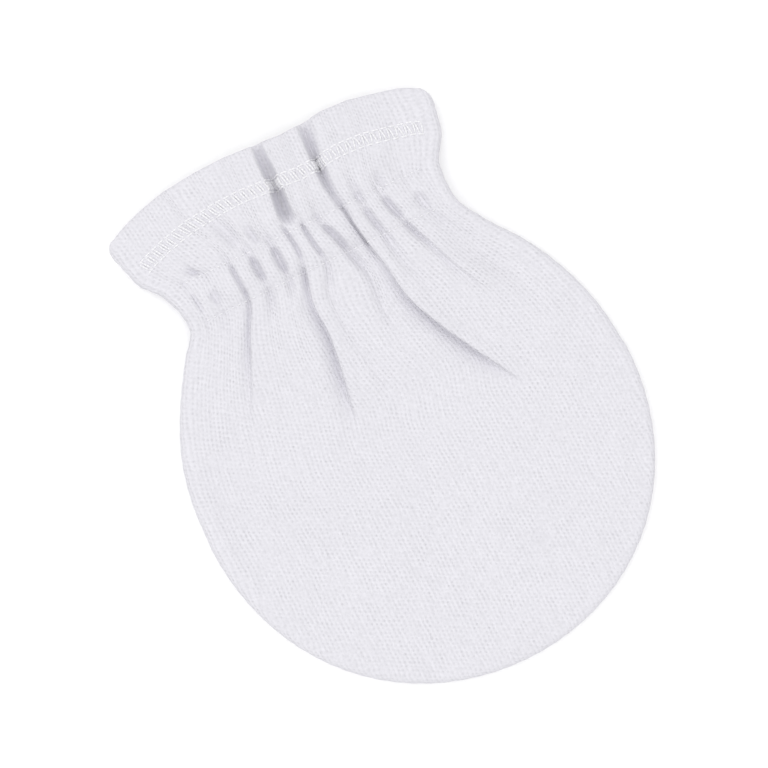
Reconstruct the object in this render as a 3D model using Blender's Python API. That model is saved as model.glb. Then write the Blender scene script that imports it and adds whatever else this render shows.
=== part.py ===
"""A newborn's no-scratch mitten in white cotton interlock, pressed flat.

It lies on its back panel with the cuff towards +Y. Two equal panels are seamed round the pouch,
turned right side out, drawn in at the wrist by an elastic tape and hemmed at the cuff.
Sizes are in millimetres and are scaled to metres where each mesh is made.

A point of a panel is named by two numbers. Its lane counts the gather lines from the left side,
and its height is y on the middle of the mitten. Below the widest line the height still falls to
the tip, while the rows bend round to follow the rim.
"""

import bpy
import numpy as np
from mathutils import Matrix

MM = 0.001
WALL = 1.0            # thickness of one layer of interlock
GAP = 0.3             # clearance between pieces that touch
RIM = 2.1             # width that the cloth takes to turn over at the side seam
LIP = 0.4             # upright stretch of cloth on each side of the seam line

# Pouch, in plan: below its widest line it is a half ellipse, a little filled out to the tip
WIDEST_Y = -10.0
HALF_WIDTH = 41.75
DROP = 42.7           # widest line to tip
TIP = WIDEST_Y - DROP
FULLNESS = 0.045      # share by which the half ellipse is filled out
TIP_LEAN = 0.8        # how far the tip lies to the right of the middle

# Wrist: the elastic tape is held between two rows of stitching
UPPER_ROW = 35.0
LOWER_ROW = 27.3
CUFF_TOP = 52.0       # the height that stands for the cuff's edge
HEM_DEPTH = 8.7
TAPE_WIDTH = 9.0
TAPE_THICKNESS = 0.6
TAPE_BOTTOM = 2.5
TAPE_END = 3.0        # from the outline to the tape's folded end

# Overlocked seam allowance, inside the pouch's rim
ALLOWANCE_NEAR = 1.8  # from the outline to its nearer edge
ALLOWANCE_FAR = 8.0
ALLOWANCE_THICKNESS = 1.6
ALLOWANCE_TOP = 22.0  # height where it runs out under the gathers

# The lines that gathers and folds follow: y of the cuff's edge there, how deep the drawn-in
# cloth is there as a share of the deepest, and x at each of LINE_HEIGHTS.
LINE_HEIGHTS = (52.0, 44.0, 38.0, 35.0, 31.0, 27.3, 22.0, 15.0, 8.0, 0.0, -10.0)
LINES = {
    "left_side": (47.3, 0, -34.7, -33.8, -31.6, -30.1, -28.3, -28.1, -31.6, -35.9, -39.1, -41.2, -41.75),
    "left_outer": (48.6, 0.3, -30.9, -29.6, -27.4, -25.8, -24.9, -24.7, -27.0, -31.0, -34.3, -36.9, -38.0),
    "left_middle": (50.0, 0.4, -26.6, -25.2, -22.9, -21.2, -21.0, -20.9, -22.9, -26.6, -30.0, -33.2, -35.4),
    "left_fold": (51.4, 0.9, -21.2, -19.4, -16.6, -16.1, -15.9, -15.8, -18.2, -21.6, -25.2, -29.2, -32.4),
    "left_inner": (52.2, 1.0, -15.0, -14.0, -12.4, -12.1, -11.9, -11.7, -13.4, -15.6, -18.0, -21.0, -24.4),
    "left_near": (52.3, 1.0, -8.9, -8.6, -8.4, -7.9, -7.7, -7.6, -9.0, -10.6, -12.0, -14.2, -16.8),
    "short_fold": (51.9, 0.9, -4.1, -4.2, -4.9, -4.4, -4.0, -4.6, -5.8, -5.7, -6.7, -8.3, -9.6),
    "middle_left": (51.7, 0.8, -0.9, -1.1, -1.3, -1.3, -0.9, -0.3, -2.0, -2.2, -1.2, -0.3, 0.4),
    "middle_right": (51.4, 1.0, 2.1, 2.1, 1.8, 1.6, 3.1, 4.2, 5.7, 5.4, 5.6, 6.8, 8.0),
    "long_fold": (51.6, 1.0, 6.5, 5.8, 5.8, 6.4, 7.0, 7.7, 9.1, 10.9, 13.9, 17.6, 20.4),
    "right_near": (52.1, 0.6, 10.6, 10.2, 9.7, 9.9, 10.4, 11.3, 12.4, 14.9, 18.4, 22.2, 25.2),
    "right_fold": (51.9, 1.0, 15.6, 14.9, 13.6, 13.7, 14.4, 15.7, 17.9, 20.8, 24.4, 27.6, 30.2),
    "right_middle": (50.8, 0.5, 20.6, 20.3, 19.4, 19.1, 19.7, 20.5, 23.0, 26.2, 29.4, 32.0, 34.2),
    "right_outer": (49.9, 0.3, 25.3, 25.0, 23.6, 22.5, 22.9, 23.4, 25.9, 30.0, 33.2, 35.8, 37.6),
    "right_side": (48.2, 0, 29.7, 29.2, 27.3, 25.9, 25.3, 25.8, 28.9, 34.1, 37.7, 40.5, 41.75),
}
LAST_LANE = len(LINES) - 1

# How high the mitten lies at each height: the front at its middle and at its rim, the side
# seam's line, and the lowest that the front may dip to clear what lies under it.
SECTIONS = {
    52.0: dict(middle=5.6, rim=5.0, seam=2.6, floor=5.0),
    44.0: dict(middle=6.2, rim=5.2, seam=2.7, floor=5.0),
    38.0: dict(middle=6.9, rim=5.7, seam=3.0, floor=5.1),
    35.0: dict(middle=6.7, rim=5.9, seam=3.2, floor=5.4),
    31.0: dict(middle=7.4, rim=6.2, seam=3.3, floor=5.4),
    27.3: dict(middle=6.7, rim=5.9, seam=3.2, floor=5.4),
    22.0: dict(middle=6.0, rim=5.2, seam=2.8, floor=4.0),
    15.0: dict(middle=5.6, rim=4.6, seam=2.4, floor=3.4),
    8.0: dict(middle=5.0, rim=4.2, seam=2.1, floor=2.8),
    0.0: dict(middle=4.4, rim=4.2, seam=2.1, floor=2.8),
    -10.0: dict(middle=4.0, rim=4.2, seam=2.1, floor=2.8),
    -30.0: dict(middle=3.7, rim=4.2, seam=2.1, floor=2.8),
}
SHELF = (4.5, 10.0)   # the rim's level runs this far in from the turned edge, then eases away
STEADY = 3.0          # gathers and folds fade out over this distance to the turned edge

# Drawn-in cloth at the wrist: its depth, and the heights between which it grows to it
FRONT_GATHER = 1.9
BACK_GATHER = 1.1
GATHER_ABOVE = (41.0, 36.5)
GATHER_BELOW = (18.0, 26.5)
PINCH = 0.55          # share of the depth that is left at a row of stitching
PINCH_REACH = 1.5     # distance from a row of stitching to the full depth

# The cuff's middle stands up between and beside its two folds
SWELL = dict(rise=1.6, x=2.0, reach=10.0, start=33.0, full=40.0)

# The largest folds: the line each follows (a half lies between two lines), the heights that it
# runs between, its depth, and how far its left and right flanks reach. A fold grows upwards from
# its end over one share of its length, and closes at its top over another.
FOLD_GROWS = 0.6
FOLD_CLOSES = 0.2
FLANK_POWER = 1.5
FOLDS = {
    "cuff_left": dict(line=6.5, top=70.0, end=36.5, depth=2.5, left=1.5, right=1.5),
    "cuff_right": dict(line=9.0, top=70.0, end=31.0, depth=2.3, left=1.5, right=1.4),
    "long": dict(line=9.0, top=36.0, end=-9.0, depth=2.1, left=4.5, right=1.4),
    "short": dict(line=6.0, top=31.0, end=-3.0, depth=1.7, left=3.0, right=1.3),
    "left": dict(line=3.0, top=31.0, end=-2.0, depth=1.1, left=3.5, right=2.5),
    "right": dict(line=11.0, top=30.0, end=4.0, depth=0.9, left=2.5, right=2.5),
    "middle": dict(line=8.0, top=30.0, end=8.0, depth=0.8, left=2.0, right=3.0),
}

# Heights of the rows of faces, and columns of faces from one gather line to the next
FRONT_ROWS = (52.0, 46.5, 42.0, 38.2, 36.4, 35.0, 33.2, 31.0, 29.0, 27.3, 25.2,
              22.0, 18.0, 13.5, 9.0, 3.5, -3.0, -10.0, -21.0, -32.0, -42.0, TIP)
BACK_ROWS = (52.0, 42.0, 38.2, 35.0, 31.0, 27.3, 25.2,
             22.0, 18.0, 13.5, 9.0, 3.5, -3.0, -10.0, -21.0, -32.0, -42.0, TIP)
FRONT_COLUMNS = 4
BACK_COLUMNS = 2
RIM_STEPS = 2
HEM_STEPS = 2
SEAM_COLUMNS = 24
TAPE_END_STEPS = 6
HEM_INSET = 0.6       # lanes from the panel's side to the turned-in hem's end

COTTON = dict(colour=(0.81, 0.80, 0.84, 1.0), roughness=0.9)
KNITTED_TAPE = dict(colour=(0.86, 0.86, 0.87, 1.0), roughness=0.7)


def smooth(heights, values, at):
    """A smooth curve through table points: cubic spans whose slopes come from the neighbours."""
    order = np.argsort(heights)
    known = np.asarray(heights, float)[order]
    value = np.asarray(values, float)[order]
    slope = np.gradient(value, known)
    at = np.clip(at, known[0], known[-1])
    i = np.clip(np.searchsorted(known, at) - 1, 0, len(known) - 2)
    span = known[i + 1] - known[i]
    t = (at - known[i]) / span
    ease_in = t * t * (3 - 2 * t)
    bend = t * (1 - t) * span * (slope[i] * (1 - t) - slope[i + 1] * t)
    return value[i] + ease_in * (value[i + 1] - value[i]) + bend


def ease(value, start, stop):
    """0 before start, 1 after stop and smooth between them; start may be the larger."""
    t = np.clip((value - start) / (stop - start), 0, 1)
    return t * t * (3 - 2 * t)


def line_x(lane, height):
    """x at any lane and height: between two lines, by the share of the way between them."""
    lane, height = np.broadcast_arrays(np.asarray(lane, float), np.asarray(height, float))
    table = np.array([smooth(LINE_HEIGHTS, row[2:], height) for row in LINES.values()])
    whole = np.clip(np.floor(lane).astype(int), 0, LAST_LANE - 1)
    share = lane - whole
    first = np.take_along_axis(table, whole[None], 0)[0]
    second = np.take_along_axis(table, whole[None] + 1, 0)[0]
    return first * (1 - share) + second * share


def by_line(column, lane):
    """One of LINES' first two columns at any lane."""
    return np.interp(lane, np.arange(len(LINES)), [row[column] for row in LINES.values()])


def cuff_spread(lane):
    """How far rows lie apart in the cuff, as a share of their heights, which follow its edge."""
    return (by_line(0, lane) - UPPER_ROW) / (CUFF_TOP - UPPER_ROW)


def side_x(lane, height):
    """The turned edge's x on one side: the outline moved in by the rim, square to it."""
    step = 0.5
    rise = np.where(height > UPPER_ROW, cuff_spread(lane), 1) * 2 * step
    slope = (line_x(lane, height + step) - line_x(lane, height - step)) / rise
    return line_x(lane, height) + np.where(lane > 0, -RIM, RIM) * np.hypot(1, slope)


def place(lane, height):
    """x, y and the distance from the turned edge of a point of a panel.

    Down to the widest line, rows are level and lie between the two sides; in the cuff they fan
    out to its curved edge. Below it, a square of lanes and heights is bent into the half ellipse:
    across = side * sqrt(1 - share^2 / 2) and down = share * sqrt(1 - side^2 / 2).
    """
    lane, height = np.broadcast_arrays(np.asarray(lane, float), np.asarray(height, float))
    level = np.maximum(height, WIDEST_Y)
    first, last = np.zeros_like(lane), np.full_like(lane, LAST_LANE)
    left, right = line_x(first, level), line_x(last, level)
    left_in, right_in = side_x(first, level), side_x(last, level)
    share = (line_x(lane, level) - left) / (right - left)
    x = left_in + share * (right_in - left_in)
    y = np.where(level > UPPER_ROW, UPPER_ROW + (level - UPPER_ROW) * cuff_spread(lane), level)
    reach = HALF_WIDTH - RIM
    side = x / reach
    down = np.clip((WIDEST_Y - height) / DROP, 0, 1)
    across_low = side * np.sqrt(1 - down ** 2 / 2)
    down_low = down * np.sqrt(1 - side ** 2 / 2)
    low = height < WIDEST_Y
    x_low = reach * across_low * (1 + FULLNESS * down_low ** 2) + TIP_LEAN * down_low
    edge = np.where(low, (1 - np.hypot(across_low, down_low)) * reach,
                    np.minimum(x - left_in, right_in - x))
    return np.where(low, x_low, x), np.where(low, WIDEST_Y - (DROP - RIM) * down_low, y), edge


def section(key, height):
    """One of SECTIONS' columns at any height."""
    return smooth(list(SECTIONS), [row[key] for row in SECTIONS.values()], height)


def gather(lane, height, columns):
    """0 to 1: how deep the drawn-in cloth is. Between two lines it rises in a round arch."""
    nearest = np.abs(lane - np.round(lane)) * 2
    arch = 1 - np.sqrt(1 - (1 - nearest) ** 2)
    if columns < 4:
        arch = 1 - nearest
    strength = by_line(1, np.round(lane))
    reach = ease(height, *GATHER_ABOVE) * ease(height, *GATHER_BELOW)
    rows = np.minimum(np.abs(height - UPPER_ROW), np.abs(height - LOWER_ROW))
    return arch * strength * reach * (PINCH + (1 - PINCH) * ease(rows, 0, PINCH_REACH))


def fold_depth(x, height):
    """Depth of the large folds: each is a trough along its line, with its own two flanks."""
    depth = np.zeros_like(x)
    for fold in FOLDS.values():
        middle = line_x(np.full_like(x, fold["line"]), np.maximum(height, WIDEST_Y))
        away = x - middle
        reach = np.where(away < 0, fold["left"], fold["right"])
        trough = np.exp(-(np.abs(away) / reach) ** FLANK_POWER)
        length = fold["top"] - fold["end"]
        start = ease(height, fold["end"], fold["end"] + FOLD_GROWS * length)
        stop = ease(height, fold["top"], fold["top"] - FOLD_CLOSES * length)
        depth += fold["depth"] * trough * start * stop
    return depth


def front_face(lane, height):
    """Outer points of the front panel, inside the strip that turns over."""
    x, y, edge = place(lane, height)
    rim, middle = section("rim", height), section("middle", height)
    swell = SWELL["rise"] * np.exp(-((x - SWELL["x"]) / SWELL["reach"]) ** 2)
    z = rim + (middle - rim) * ease(edge, *SHELF)
    z += swell * ease(height, SWELL["start"], SWELL["full"])
    inside = ease(edge, 0, STEADY)
    z -= inside * (fold_depth(x, height) + FRONT_GATHER * gather(lane, height, FRONT_COLUMNS))
    return np.stack([x, y, np.maximum(z, section("floor", height))], -1)


def back_face(lane, height):
    """Outer points of the back panel: flat, but for the drawn-in cloth at the wrist."""
    x, y, edge = place(lane, height)
    z = BACK_GATHER * gather(lane, height, BACK_COLUMNS) * ease(edge, 0, STEADY)
    return np.stack([x, y, z], -1)


def moved_in(face, lane, height, distance, inwards):
    """Points of a face moved to its inner side, along the normal from its two slopes."""
    step = 0.05
    along = face(lane + step, height) - face(lane - step, height)
    up = face(lane, height + step) - face(lane, height - step)
    normal = np.cross(along, up)
    normal /= np.linalg.norm(normal, axis=-1, keepdims=True)
    return face(lane, height) + inwards * distance * normal


def rim_path(rows, lanes):
    """Down the left side, round the tip and up the right: points, outward ways and heights."""
    lane = np.concatenate([np.full(len(rows), lanes[0]), lanes[1:], np.full(len(rows) - 1, lanes[-1])])
    height = np.concatenate([rows, np.full(len(lanes) - 1, rows[-1]), rows[-2::-1]])
    x, y, _ = place(lane, height)
    points = np.stack([x, y], -1)
    way = np.gradient(points, axis=0)
    way /= np.linalg.norm(way, axis=1, keepdims=True)
    return points, np.stack([way[:, 1], -way[:, 0]], -1), lane, height


def grid_faces(index):
    """Four-sided faces of a grid of vertex numbers, wound so that a left-to-right, top-to-bottom
    grid faces up."""
    corners = (index[:-1, :-1], index[1:, :-1], index[1:, 1:], index[:-1, 1:])
    return np.stack(corners, -1).reshape(-1, 4)


def add_object(name, points, faces, finish):
    """A mesh object with its own material; points are in millimetres."""
    mesh = bpy.data.meshes.new(name)
    mesh.from_pydata((np.asarray(points) * MM).tolist(), [], np.asarray(faces).tolist())
    mesh.shade_smooth()
    material = bpy.data.materials.new(name)
    material.use_nodes = True
    shader = material.node_tree.nodes["Principled BSDF"]
    shader.inputs["Base Color"].default_value = finish["colour"]
    shader.inputs["Roughness"].default_value = finish["roughness"]
    mesh.materials.append(material)
    part = bpy.data.objects.new(name, mesh)
    bpy.context.collection.objects.link(part)
    return part


def thicken(part):
    """Gives a sheet its thickness on the side away from its normals."""
    wall = part.modifiers.new("Wall", "SOLIDIFY")
    wall.thickness = WALL * MM
    wall.offset = -1
    wall.use_even_offset = False


def panel(name, face, rows, columns, outwards):
    """A panel: its grid of points, and the strip round it that turns down or up to the seam.

    The strip's section is a quarter ellipse, from the turned edge's level to the upright lip.
    """
    rows = np.array(rows)
    lanes = np.linspace(0, LAST_LANE, LAST_LANE * columns + 1)
    grid = face(lanes[None, :], rows[:, None])
    count = len(rows) * len(lanes)
    index = np.arange(count).reshape(len(rows), len(lanes))
    border = np.concatenate([index[:, 0], index[-1, 1:], index[-2::-1, -1]])
    path, away, lane, height = rim_path(rows, lanes)
    level = face(lane, height)[:, 2]
    seam = section("seam", height) + outwards * GAP / 2
    points, strip = [grid.reshape(-1, 3)], [border]
    for step in range(1, RIM_STEPS + 2):
        turn = np.pi / 2 * min(step / RIM_STEPS, 1)
        lip = outwards * LIP if step <= RIM_STEPS else 0
        ring = path + away * RIM * np.sin(turn)
        points.append(np.column_stack([ring, seam + lip + (level - seam - lip) * np.cos(turn)]))
        strip.append(count + len(border) * (step - 1) + np.arange(len(border)))
    faces = np.concatenate([grid_faces(index), grid_faces(np.array(strip))])
    if outwards < 0:
        faces = faces[:, ::-1]
    thicken(add_object(name, np.concatenate(points), faces, COTTON))


def hem(name, face, columns, outwards):
    """The turned-in edge of the cuff: the panel's own points, moved in past its wall."""
    lanes = np.linspace(HEM_INSET, LAST_LANE - HEM_INSET, (LAST_LANE - 1) * columns + 1)
    depths = np.linspace(GAP, HEM_DEPTH, HEM_STEPS + 1)[:, None]
    heights = CUFF_TOP - depths / cuff_spread(lanes)
    points = moved_in(face, lanes + 0 * depths, heights, WALL + GAP, -outwards)
    faces = grid_faces(np.arange(heights.size).reshape(heights.shape))
    if outwards < 0:
        faces = faces[:, ::-1]
    thicken(add_object(name, points.reshape(-1, 3), faces, COTTON))


def stadium(half_length, radius):
    """A closed outline with two straight sides and half-round ends, in x and z."""
    turn = np.linspace(-np.pi / 2, np.pi / 2, TAPE_END_STEPS + 1)
    right = np.stack([half_length - radius + radius * np.cos(turn), radius * np.sin(turn)], -1)
    return np.concatenate([right, -right])


def wrist_elastic():
    """The elastic tape, a loop pressed flat: a long thin ring carried along the wrist."""
    middle_y = (UPPER_ROW + LOWER_ROW) / 2
    left, right = line_x([0, LAST_LANE], middle_y)
    half = (right - left) / 2 - TAPE_END
    outer = stadium(half, TAPE_THICKNESS + GAP / 2)
    inner = stadium(half - TAPE_THICKNESS, GAP / 2)
    centre = np.array([(left + right) / 2, TAPE_BOTTOM + TAPE_THICKNESS + GAP / 2])
    loops = []
    for outline, y in ((outer, 0.5), (outer, -0.5), (inner, -0.5), (inner, 0.5), (outer, 0.5)):
        flat = outline + centre
        loops.append(np.insert(flat, 1, middle_y + y * TAPE_WIDTH, axis=1))
    count = len(outer)
    index = np.arange(4 * count).reshape(4, count)
    index = np.concatenate([index, index[:1]])
    index = np.concatenate([index, index[:, :1]], axis=1)
    add_object("wrist_elastic", np.concatenate(loops[:4]), grid_faces(index)[:, ::-1], KNITTED_TAPE)


def side_seam():
    """The overlocked allowance inside the rim: a flat bar carried round the pouch."""
    rows = np.array([h for h in FRONT_ROWS if h < ALLOWANCE_TOP])
    lanes = np.linspace(0, LAST_LANE, SEAM_COLUMNS + 1)
    path, away, _, height = rim_path(rows, lanes)
    level = section("seam", height)
    corners = ((ALLOWANCE_FAR, 0.5), (ALLOWANCE_NEAR, 0.5), (ALLOWANCE_NEAR, -0.5), (ALLOWANCE_FAR, -0.5))
    bars = []
    for distance, side in corners:
        ring = path + away * (RIM - distance)
        bars.append(np.column_stack([ring, level + side * ALLOWANCE_THICKNESS]))
    count = len(path)
    index = np.arange(4 * count).reshape(4, count)
    around = np.concatenate([index, index[:1]]).T
    ends = [index[:, 0], index[::-1, -1]]
    faces = np.concatenate([grid_faces(around), ends])[:, ::-1]
    add_object("side_seam", np.concatenate(bars), faces, COTTON)


def centre_on_box(parts):
    """Moves every mesh alike, so that the middle of the whole mitten's plan is the origin."""
    places = np.concatenate([[v.co[:] for v in part.data.vertices] for part in parts])
    middle = (places.min(axis=0) + places.max(axis=0)) / 2
    for part in parts:
        part.data.transform(Matrix.Translation((-middle[0], -middle[1], 0)))


def main():
    for old in list(bpy.data.objects):
        bpy.data.objects.remove(old)
    panel("front_panel", front_face, FRONT_ROWS, FRONT_COLUMNS, 1)
    panel("back_panel", back_face, BACK_ROWS, BACK_COLUMNS, -1)
    hem("front_hem", front_face, FRONT_COLUMNS, 1)
    hem("back_hem", back_face, BACK_COLUMNS, -1)
    wrist_elastic()
    side_seam()
    centre_on_box(list(bpy.data.objects))


main()
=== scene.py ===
"""A newborn's no-scratch mitten in white cotton interlock, laid flat, as finished pieces.

Shapes are worked out in millimetres on the mitten's own axes: y runs up to the cuff, x to the
right and z out of the surface. A point of a panel is named by its lane, which counts the gather
lines from the left side, and its height, which is y on the mitten's middle. Every face is a
function of those two numbers.
"""

import math

import bpy
import numpy as np
from bpy.props import FloatProperty, FloatVectorProperty, IntProperty, PointerProperty
from mathutils import Euler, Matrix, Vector


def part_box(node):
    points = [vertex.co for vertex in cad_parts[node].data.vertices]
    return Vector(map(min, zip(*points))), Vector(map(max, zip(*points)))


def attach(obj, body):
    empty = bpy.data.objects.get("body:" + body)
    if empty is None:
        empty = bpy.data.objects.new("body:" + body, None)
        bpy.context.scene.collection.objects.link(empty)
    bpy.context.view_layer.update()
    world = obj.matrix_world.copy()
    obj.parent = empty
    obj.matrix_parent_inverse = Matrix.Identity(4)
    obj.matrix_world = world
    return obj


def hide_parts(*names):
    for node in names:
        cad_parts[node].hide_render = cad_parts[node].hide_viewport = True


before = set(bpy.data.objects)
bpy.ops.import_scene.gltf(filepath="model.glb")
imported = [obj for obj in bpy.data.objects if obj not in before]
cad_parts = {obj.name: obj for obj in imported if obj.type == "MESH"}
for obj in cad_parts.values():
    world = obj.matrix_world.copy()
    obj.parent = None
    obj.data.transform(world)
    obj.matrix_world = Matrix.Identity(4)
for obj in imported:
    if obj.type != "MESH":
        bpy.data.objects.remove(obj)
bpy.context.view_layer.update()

bl_info = {
    "name": "Baby mitten",
    "version": (1, 0, 0),
    "blender": (4, 5, 0),
    "location": "3D View > Sidebar > Mitten",
    "description": "Builds a flat-laid cotton mitten with an elastic wrist and a stitched hem",
    "category": "Add Mesh",
}

MM = 0.001


def table(columns, **rows):
    """A table with named rows, each a dictionary from the columns' names to its values."""
    return {name: dict(zip(columns.split(), row)) for name, row in rows.items()}


# Outline of the pouch
WIDEST_Y = -10.0
HALF_WIDTH = 41.75
DROP = 42.7
TIP = WIDEST_Y - DROP
FULLNESS = 0.045
TIP_LEAN = 0.8
RIM = 2.1

# Wrist and cuff, as heights
UPPER_ROW = 35.0
LOWER_ROW = 27.3
CUFF_TOP = 52.0
EVEN_CUFF = 43.0      # above this, rows run at an even distance from the cuff's edge
HEM_DEPTH = 8.7
HEM_UPPER_ROW = 6.7   # depth below the edge of the hem stitching's two lines
HEM_LOWER_ROW = 9.0
TAPE_WIDTH = 9.0
TAPE_THICKNESS = 0.6
TAPE_GAP = 0.3
TAPE_BOTTOM = 2.5
TAPE_END = 3.0
TAPE_CORDS = 7
ALLOWANCE_NEAR = 1.8
ALLOWANCE_FAR = 8.0
ALLOWANCE_THICKNESS = 1.6
ALLOWANCE_TOP = 22.0

# Rings of the mesh from a panel's border to the seam, and the seam's pucker
RIM_RINGS = 8
RIM_LANES = 2         # lanes over which the cloth makes room for the rim
RIM_SQUARE = 0.62
SEAM_TUCK = 0.2
PUCKER_PITCH = 2.9
PUCKER_DEPTH = 0.07
BORDER = (0, 3)       # folds and gathers grow to full size over this distance from the border

# The overlocked allowance
ALLOWANCE_WAVE = (0.12, 6.4)    # depth and length of its free edge's waves
OVERLOCK_PITCH = 2.3
OVERLOCK_BITE = 2.1

# The back: a step up at the turned hem, two low ridges under the wrist's rows, and a faint fan
BACK_HEM_RISE = 0.62
BACK_HEM_SPAN = ((41.8, 42.8), (46.6, 45.8))
BACK_ROW_RISE = 0.14
BACK_FAN_RISE = 0.35

# The front: depth, distance from the border and half width of the dip inside the rim, and the
# depths and lengths of the cloth's own slow waves
RING = (0.24, 8.8, 2.2)
WAVES = (0.07, 23), (0.03, 9)

# How far threads stand off the cloth, and the wrist's thread as a share of the hem's
HEM_ARCH = 0.1
WRIST_ARCH = 0.04
WRIST_THREAD = 0.55

# The cuff's two rounded corners: lane, radius and way inwards
CORNERS = ((0, 1.8, 1), (-1, 2.6, -1))

# Rows of stitching on both faces. pitch: one stitch. reach: half width of the pressed-in line.
# groove: depth of the whole line. dimple: how much deeper it is where a stitch goes through.
STITCH_ROWS = table(
    "height pitch reach groove dimple",
    hem_upper=(CUFF_TOP - HEM_UPPER_ROW, 1.6, 0.32, 0.18, 0.08),
    hem_lower=(CUFF_TOP - HEM_LOWER_ROW, 1.6, 0.4, 0.12, 0.06),
    wrist_upper=(UPPER_ROW, 1.3, 0.4, 0.06, 0.16),
    wrist_lower=(LOWER_ROW, 1.3, 0.4, 0.06, 0.16),
)

# Where the camera looks, on the mitten's own axes, and the large light's place in metres
CAMERA_CENTRE = (-0.65, 3.23)
LENS = 85
KEY_PLACE = (-0.09, 0.06, 1)
KEY_SIZE = 1.8

# The lines that gathers and folds follow. edge: y of the cuff's edge there. deep: depth of the
# drawn-in cloth, as a share. wide: half the trough's width. high, low: heights of its ends. up,
# down: how far the cloth is still drawn in past the rows of stitching. x: at each of LINE_HEIGHTS.
LINE_HEIGHTS = (52, 44, 38, 35, 31, 27.3, 22, 15, 8, 0, -10)
LINES = table(
    "edge deep wide high low up down x",
    left_side=(47.85, 0, 0.5, 34.4, 28.4, 2, 3,
        (-35.1, -33.2, -31.05, -29.9, -28.2, -27.9, -31.5, -35.8, -39.1, -41.1, -41.75)),
    left_outer=(49.05, 0.5, 0.5, 33.4, 27.8, 2.5, 4,
        (-30.9, -29.6, -27.4, -25.8, -24.9, -24.7, -27, -31, -34.3, -36.9, -38)),
    left_middle=(50.35, 0.5, 0.8, 32.6, 28.2, 4, 6,
        (-26.6, -25.2, -22.9, -21.2, -21, -20.9, -22.9, -26.6, -30, -33.2, -35.4)),
    left_fold=(51.6, 0.65, 0.36, 35.4, 26.6, 6, 7,
        (-21.2, -19.4, -16.6, -16.1, -15.9, -15.8, -18.2, -21.6, -25.2, -29.2, -32.4)),
    left_inner=(52.2, 0.95, 0.62, 34.8, 28.4, 3, 8,
        (-15, -14, -12.4, -12.1, -11.9, -11.7, -13.4, -15.6, -18, -21, -24.4)),
    left_near=(52.3, 0.95, 0.64, 34.8, 27.9, 5, 5,
        (-8.9, -8.6, -8.4, -7.9, -7.7, -7.6, -9, -10.6, -12, -14.2, -16.8)),
    short_fold=(51.9, 0.6, 0.34, 37.4, 28.8, 4, 5,
        (-4.1, -4.2, -4.9, -4.4, -4, -4.6, -5.8, -5.7, -6.7, -8.3, -9.6)),
    middle_left=(51.7, 0.6, 0.36, 36.6, 27.4, 3, 8,
        (-0.9, -1.1, -1.3, -1.3, -0.9, -0.3, -2, -2.2, -1.2, -0.3, 0.4)),
    middle_right=(51.4, 0.9, 0.62, 34.2, 26.9, 2.5, 8,
        (2.1, 2.1, 1.8, 1.6, 3.1, 4.2, 5.7, 5.4, 5.6, 6.8, 8)),
    long_fold=(51.6, 0.55, 0.27, 36.4, 25.6, 3, 5,
        (6.5, 5.8, 5.8, 6.4, 7, 7.7, 9, 10.4, 13.6, 18, 22.6)),
    right_near=(52.1, 0.7, 0.52, 33.9, 27, 2, 6,
        (10.6, 10.2, 9.7, 9.9, 10.4, 11.3, 12.4, 14.9, 18.4, 22.6, 27.2)),
    right_fold=(51.9, 0.95, 0.68, 34.2, 27.7, 4, 7,
        (15.6, 14.9, 13.6, 13.7, 14.4, 15.7, 17.9, 20.8, 24.4, 27.9, 31.2)),
    right_middle=(50.9, 0.55, 1, 32.2, 27.2, 3, 8,
        (20.6, 20.3, 19.4, 19.1, 19.7, 20.5, 23, 26.2, 29.4, 32, 34.2)),
    right_outer=(49.95, 0.45, 0.6, 33, 28.5, 2.5, 4,
        (25.3, 25, 23.6, 22.5, 22.9, 23.4, 25.9, 30, 33.2, 35.8, 37.6)),
    right_side=(48.55, 0, 0.5, 34.4, 28.4, 2, 3,
        (29.9, 28.9, 26.9, 25.9, 25.4, 25.8, 28.9, 34, 37.7, 40.35, 41.75)),
)
LINE_TABLE = np.array([line["x"] for line in LINES.values()])
LAST_LANE = len(LINES) - 1

# How high the mitten lies at each height: the front's middle, its rim, and the side seam's line
SECTION_HEIGHTS = (52, 48, 44, 38, 35, 31, 27.3, 22, 15, 8, 0, -10, -30)
SECTIONS = {
    "middle": (5.5, 6, 6.2, 6.8, 6.6, 7.5, 6.6, 6.1, 5.6, 5, 4.4, 4, 3.7),
    "rim": (4.9, 5.1, 5.2, 5.6, 5.8, 6.2, 5.8, 5.2, 4.6, 4.2, 4.2, 4.2, 4.2),
    "seam": (2.6, 2.6, 2.7, 3, 3.2, 3.3, 3.2, 2.8, 2.4, 2.1, 2.1, 2.1, 2.1),
}
SHELF = (4.5, 10.0)   # the rim's level runs this far in from the turned edge, then eases away
SWELL = dict(rise=1.3, x=2.0, reach=11.0, start=30.0, full=44.0)

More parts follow.
